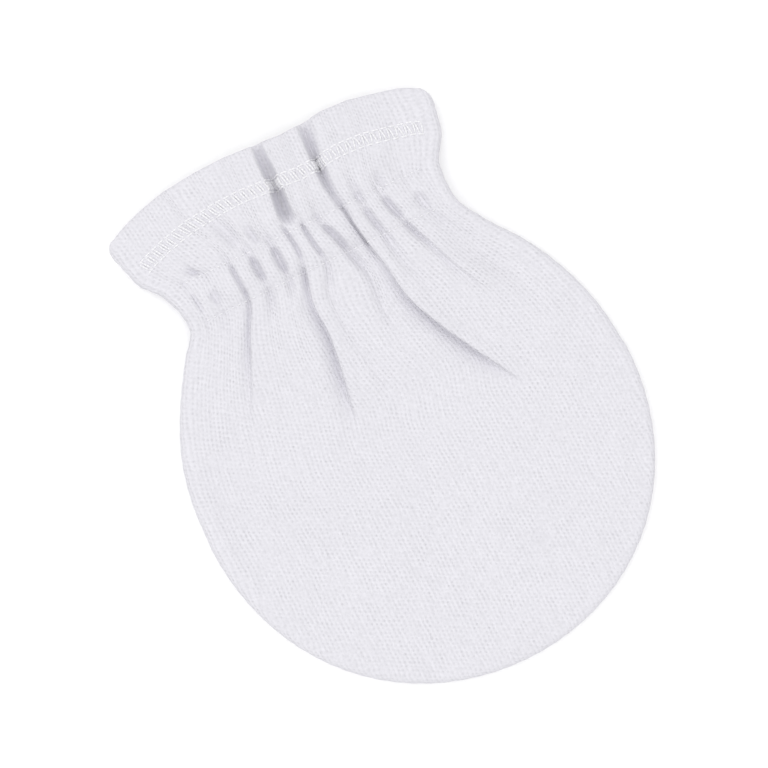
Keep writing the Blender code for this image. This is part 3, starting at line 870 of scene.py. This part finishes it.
def ride_and_slot(piece, finish, slot, *nodes):
    """Give a piece its finish, tie it to the mitten's one body and hide the CAD nodes it stands
    for.

    A finish is made once, for the first piece that has it. The slot is not used.
    """
    piece.data.materials.append(bpy.data.materials.get(finish) or FINISHES[finish](finish))
    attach(piece, "root")
    if nodes:
        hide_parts(*nodes)


def sew(name, laid, radius):
    """Make rows of laid stitches one piece of thread."""
    paths, up = (np.concatenate([run[i] for run in laid]) for i in (0, 1))
    ride_and_slot(threads(name, paths, up, radius), "sewing_thread", "cotton")


def length_property(name, description, default, low, high):
    """A length, in metres."""
    return FloatProperty(name=name, description=description, default=default, min=low, max=high,
                         precision=6, unit="LENGTH")


def colour_property(name, description, default):
    """A colour."""
    return FloatVectorProperty(name=name, description=description, default=default, min=0, max=1,
                               size=3, subtype="COLOR")


class MittenSizes(bpy.types.PropertyGroup):
    """Sizes and colours of the mitten's cloth, threads and tape."""

    cloth_thickness: length_property(
        "Cloth thickness", "Thickness of the interlock", 0.00075, 0.0003, 0.002)
    fold_radius: length_property(
        "Hem fold radius", "Radius of the cloth's fold over the cuff's edge", 0.0008, 0.0005, 0.002)
    cut_width: length_property(
        "Cuff cut width", "Width of the flat cut above the pouch, side to side", 0.08, 0.06, 0.1)
    gather_depth: length_property(
        "Front gathers", "Depth of the front's gathers between the wrist's rows", 0.002, 0, 0.003)
    back_gather_depth: length_property(
        "Back gathers", "How far the back's gathers rise off the surface", 0.0012, 0, 0.002)
    wale_width: length_property(
        "Wale width", "Width of one upright row of loops", 0.00078, 0.0004, 0.002)
    course_height: length_property("Course height", "Height of one loop", 0.00082, 0.0004, 0.002)
    loop_relief: length_property("Loop relief", "Height of the loops' relief", 0.00009, 0, 0.0004)
    thread_radius: length_property(
        "Thread radius", "Radius of the sewing thread", 0.0002, 0.00005, 0.0003)
    columns: IntProperty(
        name="Columns", description="Columns of the mesh between two gather lines", default=12,
        min=4, max=16)
    # Painted shade: how bright the cloth is painted in the hollows between its loops, as a share
    loop_painted_shade: FloatProperty(
        name="Loop shade", description="Brightness between the loops, as a share", default=0.81,
        min=0.5, max=1, subtype="FACTOR")
    cotton_colour: colour_property("Cotton", "Colour of the cotton cloth", (0.752, 0.743, 0.788))
    thread_colour: colour_property("Thread", "Colour of the sewing thread", (0.87, 0.865, 0.89))
    tape_colour: colour_property("Tape", "Colour of the elastic tape", (0.82, 0.82, 0.83))


class MittenStage(bpy.types.PropertyGroup):
    """The floor, the lights and the camera around the mitten."""

    floor_colour: colour_property("Floor", "Colour of the floor", (0.99, 0.99, 0.99))
    floor_size: length_property("Floor size", "Side of the square floor", 3.0, 0.5, 10)
    sky_light: FloatProperty(
        name="Sky light", description="Strength of the even light from all round", default=0.72,
        min=0, max=3)
    key_light: FloatProperty(
        name="Key light", description="Power of the large soft light, in watts", default=8.6,
        min=0, max=100, subtype="POWER", unit="POWER")
    camera_height: length_property(
        "Camera height", "Camera's height above the surface", 0.3299, 0.1, 2)
    camera_turn: FloatProperty(
        name="Camera turn", description="How far the camera is turned about the upright axis",
        default=math.radians(-26), min=-math.pi, max=math.pi, subtype="ANGLE", unit="ROTATION")


class MITTEN_OT_front_panel(bpy.types.Operator):
    """Add the front panel, with its gathers, folds and turned hem"""
    bl_idname = "mitten.front_panel"
    bl_label = "Front panel"

    def execute(self, context):
        piece, flat, area = panel("front_cloth", stitched(front_base, 1), 1)
        ride_and_slot(piece, "cotton_interlock", "cotton", "front_panel", "front_hem")
        return {"FINISHED"}


class MITTEN_OT_back_panel(bpy.types.Operator):
    """Add the back panel, which lies on the surface"""
    bl_idname = "mitten.back_panel"
    bl_label = "Back panel"

    def execute(self, context):
        piece, flat, area = panel("back_cloth", stitched(back_base, -1), -1)
        ride_and_slot(piece, "cotton_interlock", "cotton", "back_panel", "back_hem")
        return {"FINISHED"}


class MITTEN_OT_hem_stitching(bpy.types.Operator):
    """Add the hem's two rows of stitches and the slanted threads between them"""
    bl_idname = "mitten.hem_stitching"
    bl_label = "Hem stitching"

    def execute(self, context):
        upper, lower = STITCH_ROWS["hem_upper"], STITCH_ROWS["hem_lower"]
        radius = mm("thread_radius")
        for name, base, outwards in FACES:
            face = stitched(base, outwards)
            line = StitchRow(base, upper["height"], upper["pitch"])
            counts = np.arange(0.5, line.total - 1, dtype=float)
            top, bottom = upper["height"], lower["height"]
            turned = ease(line.lane(counts), 8.5, 10.0)
            sway = 0.06 * np.sin(counts * 2.4) + 0.05 * np.sin(counts * 1.3)
            runs = (((0.0, top), (0.44 + sway, bottom)),
                    ((0.33 + 0.5 * turned, top), (0.80 + sway, bottom)),
                    ((0.05, top), (0.95, top)), ((0.05, bottom), (0.95, bottom)))
            laid = [laid_stitches(face, line, start, end, counts, HEM_ARCH, radius, outwards)
                    for start, end in runs]
            sew(f"hem_stitching_{name}", laid, radius)
        return {"FINISHED"}


class MITTEN_OT_wrist_stitching(bpy.types.Operator):
    """Add the two rows of stitches that hold the elastic tape"""
    bl_idname = "mitten.wrist_stitching"
    bl_label = "Wrist stitching"

    def execute(self, context):
        radius = mm("thread_radius") * WRIST_THREAD
        for name, base, outwards in FACES:
            face = stitched(base, outwards)
            laid = []
            for key in ("wrist_upper", "wrist_lower"):
                row = STITCH_ROWS[key]
                line = StitchRow(base, row["height"], row["pitch"])
                counts = np.arange(1, line.total - 1, dtype=float)
                ends = (0.15, row["height"]), (0.85, row["height"])
                laid.append(laid_stitches(face, line, *ends, counts, WRIST_ARCH, radius, outwards))
            sew(f"wrist_stitching_{name}", laid, radius)
        return {"FINISHED"}


class MITTEN_OT_elastic_tape(bpy.types.Operator):
    """Add the elastic tape inside the wrist"""
    bl_idname = "mitten.elastic_tape"
    bl_label = "Elastic tape"

    def execute(self, context):
        ride_and_slot(elastic_tape(), "elastic_tape", "elastic_tape", "wrist_elastic")
        return {"FINISHED"}


class MITTEN_OT_side_seam(bpy.types.Operator):
    """Add the overlocked seam allowance inside the pouch's rim"""
    bl_idname = "mitten.side_seam"
    bl_label = "Side seam"

    def execute(self, context):
        allowance, loops = seam_allowance()
        ride_and_slot(allowance, "cotton_interlock", "cotton", "side_seam")
        ride_and_slot(loops, "sewing_thread", "cotton")
        return {"FINISHED"}


class MITTEN_OT_stage(bpy.types.Operator):
    """Add the floor, the lights and the camera"""
    bl_idname = "mitten.stage"
    bl_label = "Stage"

    def execute(self, context):
        stage = context.scene.mitten_stage
        add_floor(stage)
        add_lights(stage)
        add_camera(stage)
        return {"FINISHED"}


def elastic_tape():
    """The tape as a loop pressed flat: its section, a thin ribbed band, carried round a stadium.

    The section runs up the outer side and down the inner one. Each rubber cord makes a low
    round rib on both.
    """
    middle_y = (UPPER_ROW + LOWER_ROW) / 2
    left, right = line_x([0, LAST_LANE], middle_y)
    half = (right - left) / 2 - TAPE_END
    outline = stadium(half - TAPE_THICKNESS / 2, (TAPE_THICKNESS + TAPE_GAP) / 2)
    away = outwards_of(np.roll(outline, -1, axis=0) - np.roll(outline, 1, axis=0))
    y = np.linspace(-0.5, 0.5, 57)
    rib = TAPE_THICKNESS / 2 * (0.82 + 0.18 * np.cos(2 * np.pi * TAPE_CORDS * y))
    section_y = np.concatenate([y, y[::-1]]) * TAPE_WIDTH
    section_out = np.concatenate([rib, -rib[::-1]])
    points = outline[:, None] + away[:, None] * section_out[None, :, None]
    points = np.insert(points, 1, np.broadcast_to(section_y, points.shape[:2]), axis=2)
    points += (left + right) / 2, middle_y, TAPE_BOTTOM + TAPE_THICKNESS + TAPE_GAP / 2
    index = np.pad(numbered(points), (0, 1), mode="wrap")
    cuts = np.stack(np.broadcast_arrays(run_along(outline)[:, None], section_y), -1)
    return add_piece("elastic_tape", points, grid_faces(index), cuts)


def seam_allowance():
    """The two allowances, overlocked together: a soft flat bar round the pouch, with its loops.

    The bar's section is a long rounded shape, thinnest at the stitching and a little wavy along
    its free edge. The overlock thread goes over that edge in even loops.
    """
    side, tip = np.linspace(ALLOWANCE_TOP, WIDEST_Y, 50), np.linspace(WIDEST_Y, TIP, 60)
    heights = np.concatenate([side, tip[1:]])
    lanes = np.linspace(0, LAST_LANE, 140)
    lane = np.concatenate([np.zeros(len(heights)), lanes[1:], np.full(len(heights) - 1, LAST_LANE)])
    height = np.concatenate([heights, np.full(len(lanes) - 1, TIP), heights[-2::-1]])
    x, y, _ = place(lane, height)
    path = np.stack([x, y], -1)
    away = outwards_of(np.gradient(path, axis=0))
    run = run_along(path)
    level = section("seam", height)

    turn = np.linspace(0, 2 * np.pi, 20, endpoint=False)
    middle, half = (ALLOWANCE_NEAR + ALLOWANCE_FAR) / 2, (ALLOWANCE_FAR - ALLOWANCE_NEAR) / 2
    inwards = middle - half * np.sign(np.cos(turn)) * np.abs(np.cos(turn)) ** 0.5
    thick = ALLOWANCE_THICKNESS / 2 * np.sign(np.sin(turn)) * np.abs(np.sin(turn)) ** 0.6
    depth, length = ALLOWANCE_WAVE
    wave = depth * np.sin(2 * np.pi * run / length)[:, None] * ease(inwards, 3, ALLOWANCE_FAR)
    flat = path[:, None] + away[:, None] * (RIM - inwards)[:, None]
    points = np.concatenate([flat, (level[:, None] + 0.88 * thick + wave)[..., None]], axis=2)
    index = numbered(points)
    closed = np.concatenate([index, index[:, :1]], axis=1)
    ends = [end[[i, i + 1, 18 - i, 19 - i]]
            for i in range(0, 9) for end in (index[0], index[-1, ::-1])]
    faces = np.concatenate([grid_faces(closed), ends])
    cuts = np.stack(np.broadcast_arrays(run[:, None], inwards), -1)
    bar = add_piece("seam_allowance", points, faces, cuts)

    spots = np.arange(2, run[-1] - 2, OVERLOCK_PITCH)[:, None]
    t = np.linspace(0, 1, 13)
    around = np.pi * (0.12 + 1.76 * t)
    here = spots + 1.9 * (t - 0.5)
    centre = np.stack([np.interp(here, run, path[:, 0]), np.interp(here, run, path[:, 1])], -1)
    out = np.stack([np.interp(here, run, away[:, 0]), np.interp(here, run, away[:, 1])], -1)
    reach = ALLOWANCE_FAR - 2.2 - OVERLOCK_BITE * np.cos(around)
    depth = (ALLOWANCE_THICKNESS / 2 - 0.1) * np.sin(around)
    z = np.interp(here, run, level) + depth
    paths = np.concatenate([centre + out * (RIM - reach)[:, None], z[..., None]], axis=2)
    up = np.concatenate([-out, np.full(here.shape, 0.4)[..., None]], axis=2)
    return bar, threads("overlock_stitching", paths, up, mm("thread_radius"))


def add_floor(stage):
    """A square floor just under the mitten, as a small grid."""
    side = np.linspace(-0.5, 0.5, 9) * stage.floor_size / MM
    x, y = np.meshgrid(side, side[::-1])
    index = np.arange(x.size).reshape(x.shape)
    floor = add_piece("floor", np.stack([x, y, 0 * x], -1), grid_faces(index))
    floor.data.materials.append(floor_finish("pale_floor"))


def add_lights(stage):
    """Even light from all round, and one large soft light above, a little to the left."""
    world = bpy.data.worlds.new("studio")
    world.use_nodes = True
    world.node_tree.nodes["Background"].inputs["Color"].default_value = (1, 1, 1, 1)
    world.node_tree.nodes["Background"].inputs["Strength"].default_value = stage.sky_light
    bpy.context.scene.world = world
    lamp = bpy.data.lights.new("key", "AREA")
    lamp.shape = "DISK"
    lamp.size = KEY_SIZE
    lamp.energy = stage.key_light
    key = bpy.data.objects.new("key", lamp)
    key.location = KEY_PLACE
    key.rotation_euler = (Vector((0, 0, 0)) - key.location).to_track_quat("-Z", "Y").to_euler()
    bpy.context.collection.objects.link(key)


def add_camera(stage):
    """A camera straight above the mitten, turned about the upright axis."""
    lens = bpy.data.cameras.new("camera")
    lens.lens = LENS
    lens.sensor_width = 36
    lens.clip_start = 0.01
    camera = bpy.data.objects.new("camera", lens)
    camera.location = (*(np.array(CAMERA_CENTRE) * MM + mitten_origin()[:2]), stage.camera_height)
    camera.rotation_euler = Euler((0, 0, stage.camera_turn))
    bpy.context.collection.objects.link(camera)
    bpy.context.scene.camera = camera
    bpy.context.scene.view_settings.view_transform = "Standard"


class MITTEN_PT_panel(bpy.types.Panel):
    """The mitten's sizes, colours and pieces"""
    bl_idname = "MITTEN_PT_panel"
    bl_label = "Baby mitten"
    bl_space_type = "VIEW_3D"
    bl_region_type = "UI"
    bl_category = "Mitten"

    def draw(self, context):
        for group in (context.scene.mitten, context.scene.mitten_stage):
            box = self.layout.box()
            for key in type(group).__annotations__:
                box.prop(group, key)
        for operator in OPERATORS:
            self.layout.operator(operator.bl_idname)


OPERATORS = (MITTEN_OT_front_panel, MITTEN_OT_back_panel, MITTEN_OT_hem_stitching,
             MITTEN_OT_wrist_stitching, MITTEN_OT_elastic_tape, MITTEN_OT_side_seam,
             MITTEN_OT_stage)
CLASSES = (MittenSizes, MittenStage) + OPERATORS + (MITTEN_PT_panel,)


def register():
    for each in CLASSES:
        bpy.utils.register_class(each)
    bpy.types.Scene.mitten = PointerProperty(type=MittenSizes)
    bpy.types.Scene.mitten_stage = PointerProperty(type=MittenStage)


def unregister():
    del bpy.types.Scene.mitten_stage
    del bpy.types.Scene.mitten
    for each in reversed(CLASSES):
        bpy.utils.unregister_class(each)


def main():
    register()
    for operator in OPERATORS:
        group, name = operator.bl_idname.split(".")
        getattr(getattr(bpy.ops, group), name)()
    bpy.context.view_layer.update()


if __name__ == "__main__":
    main()
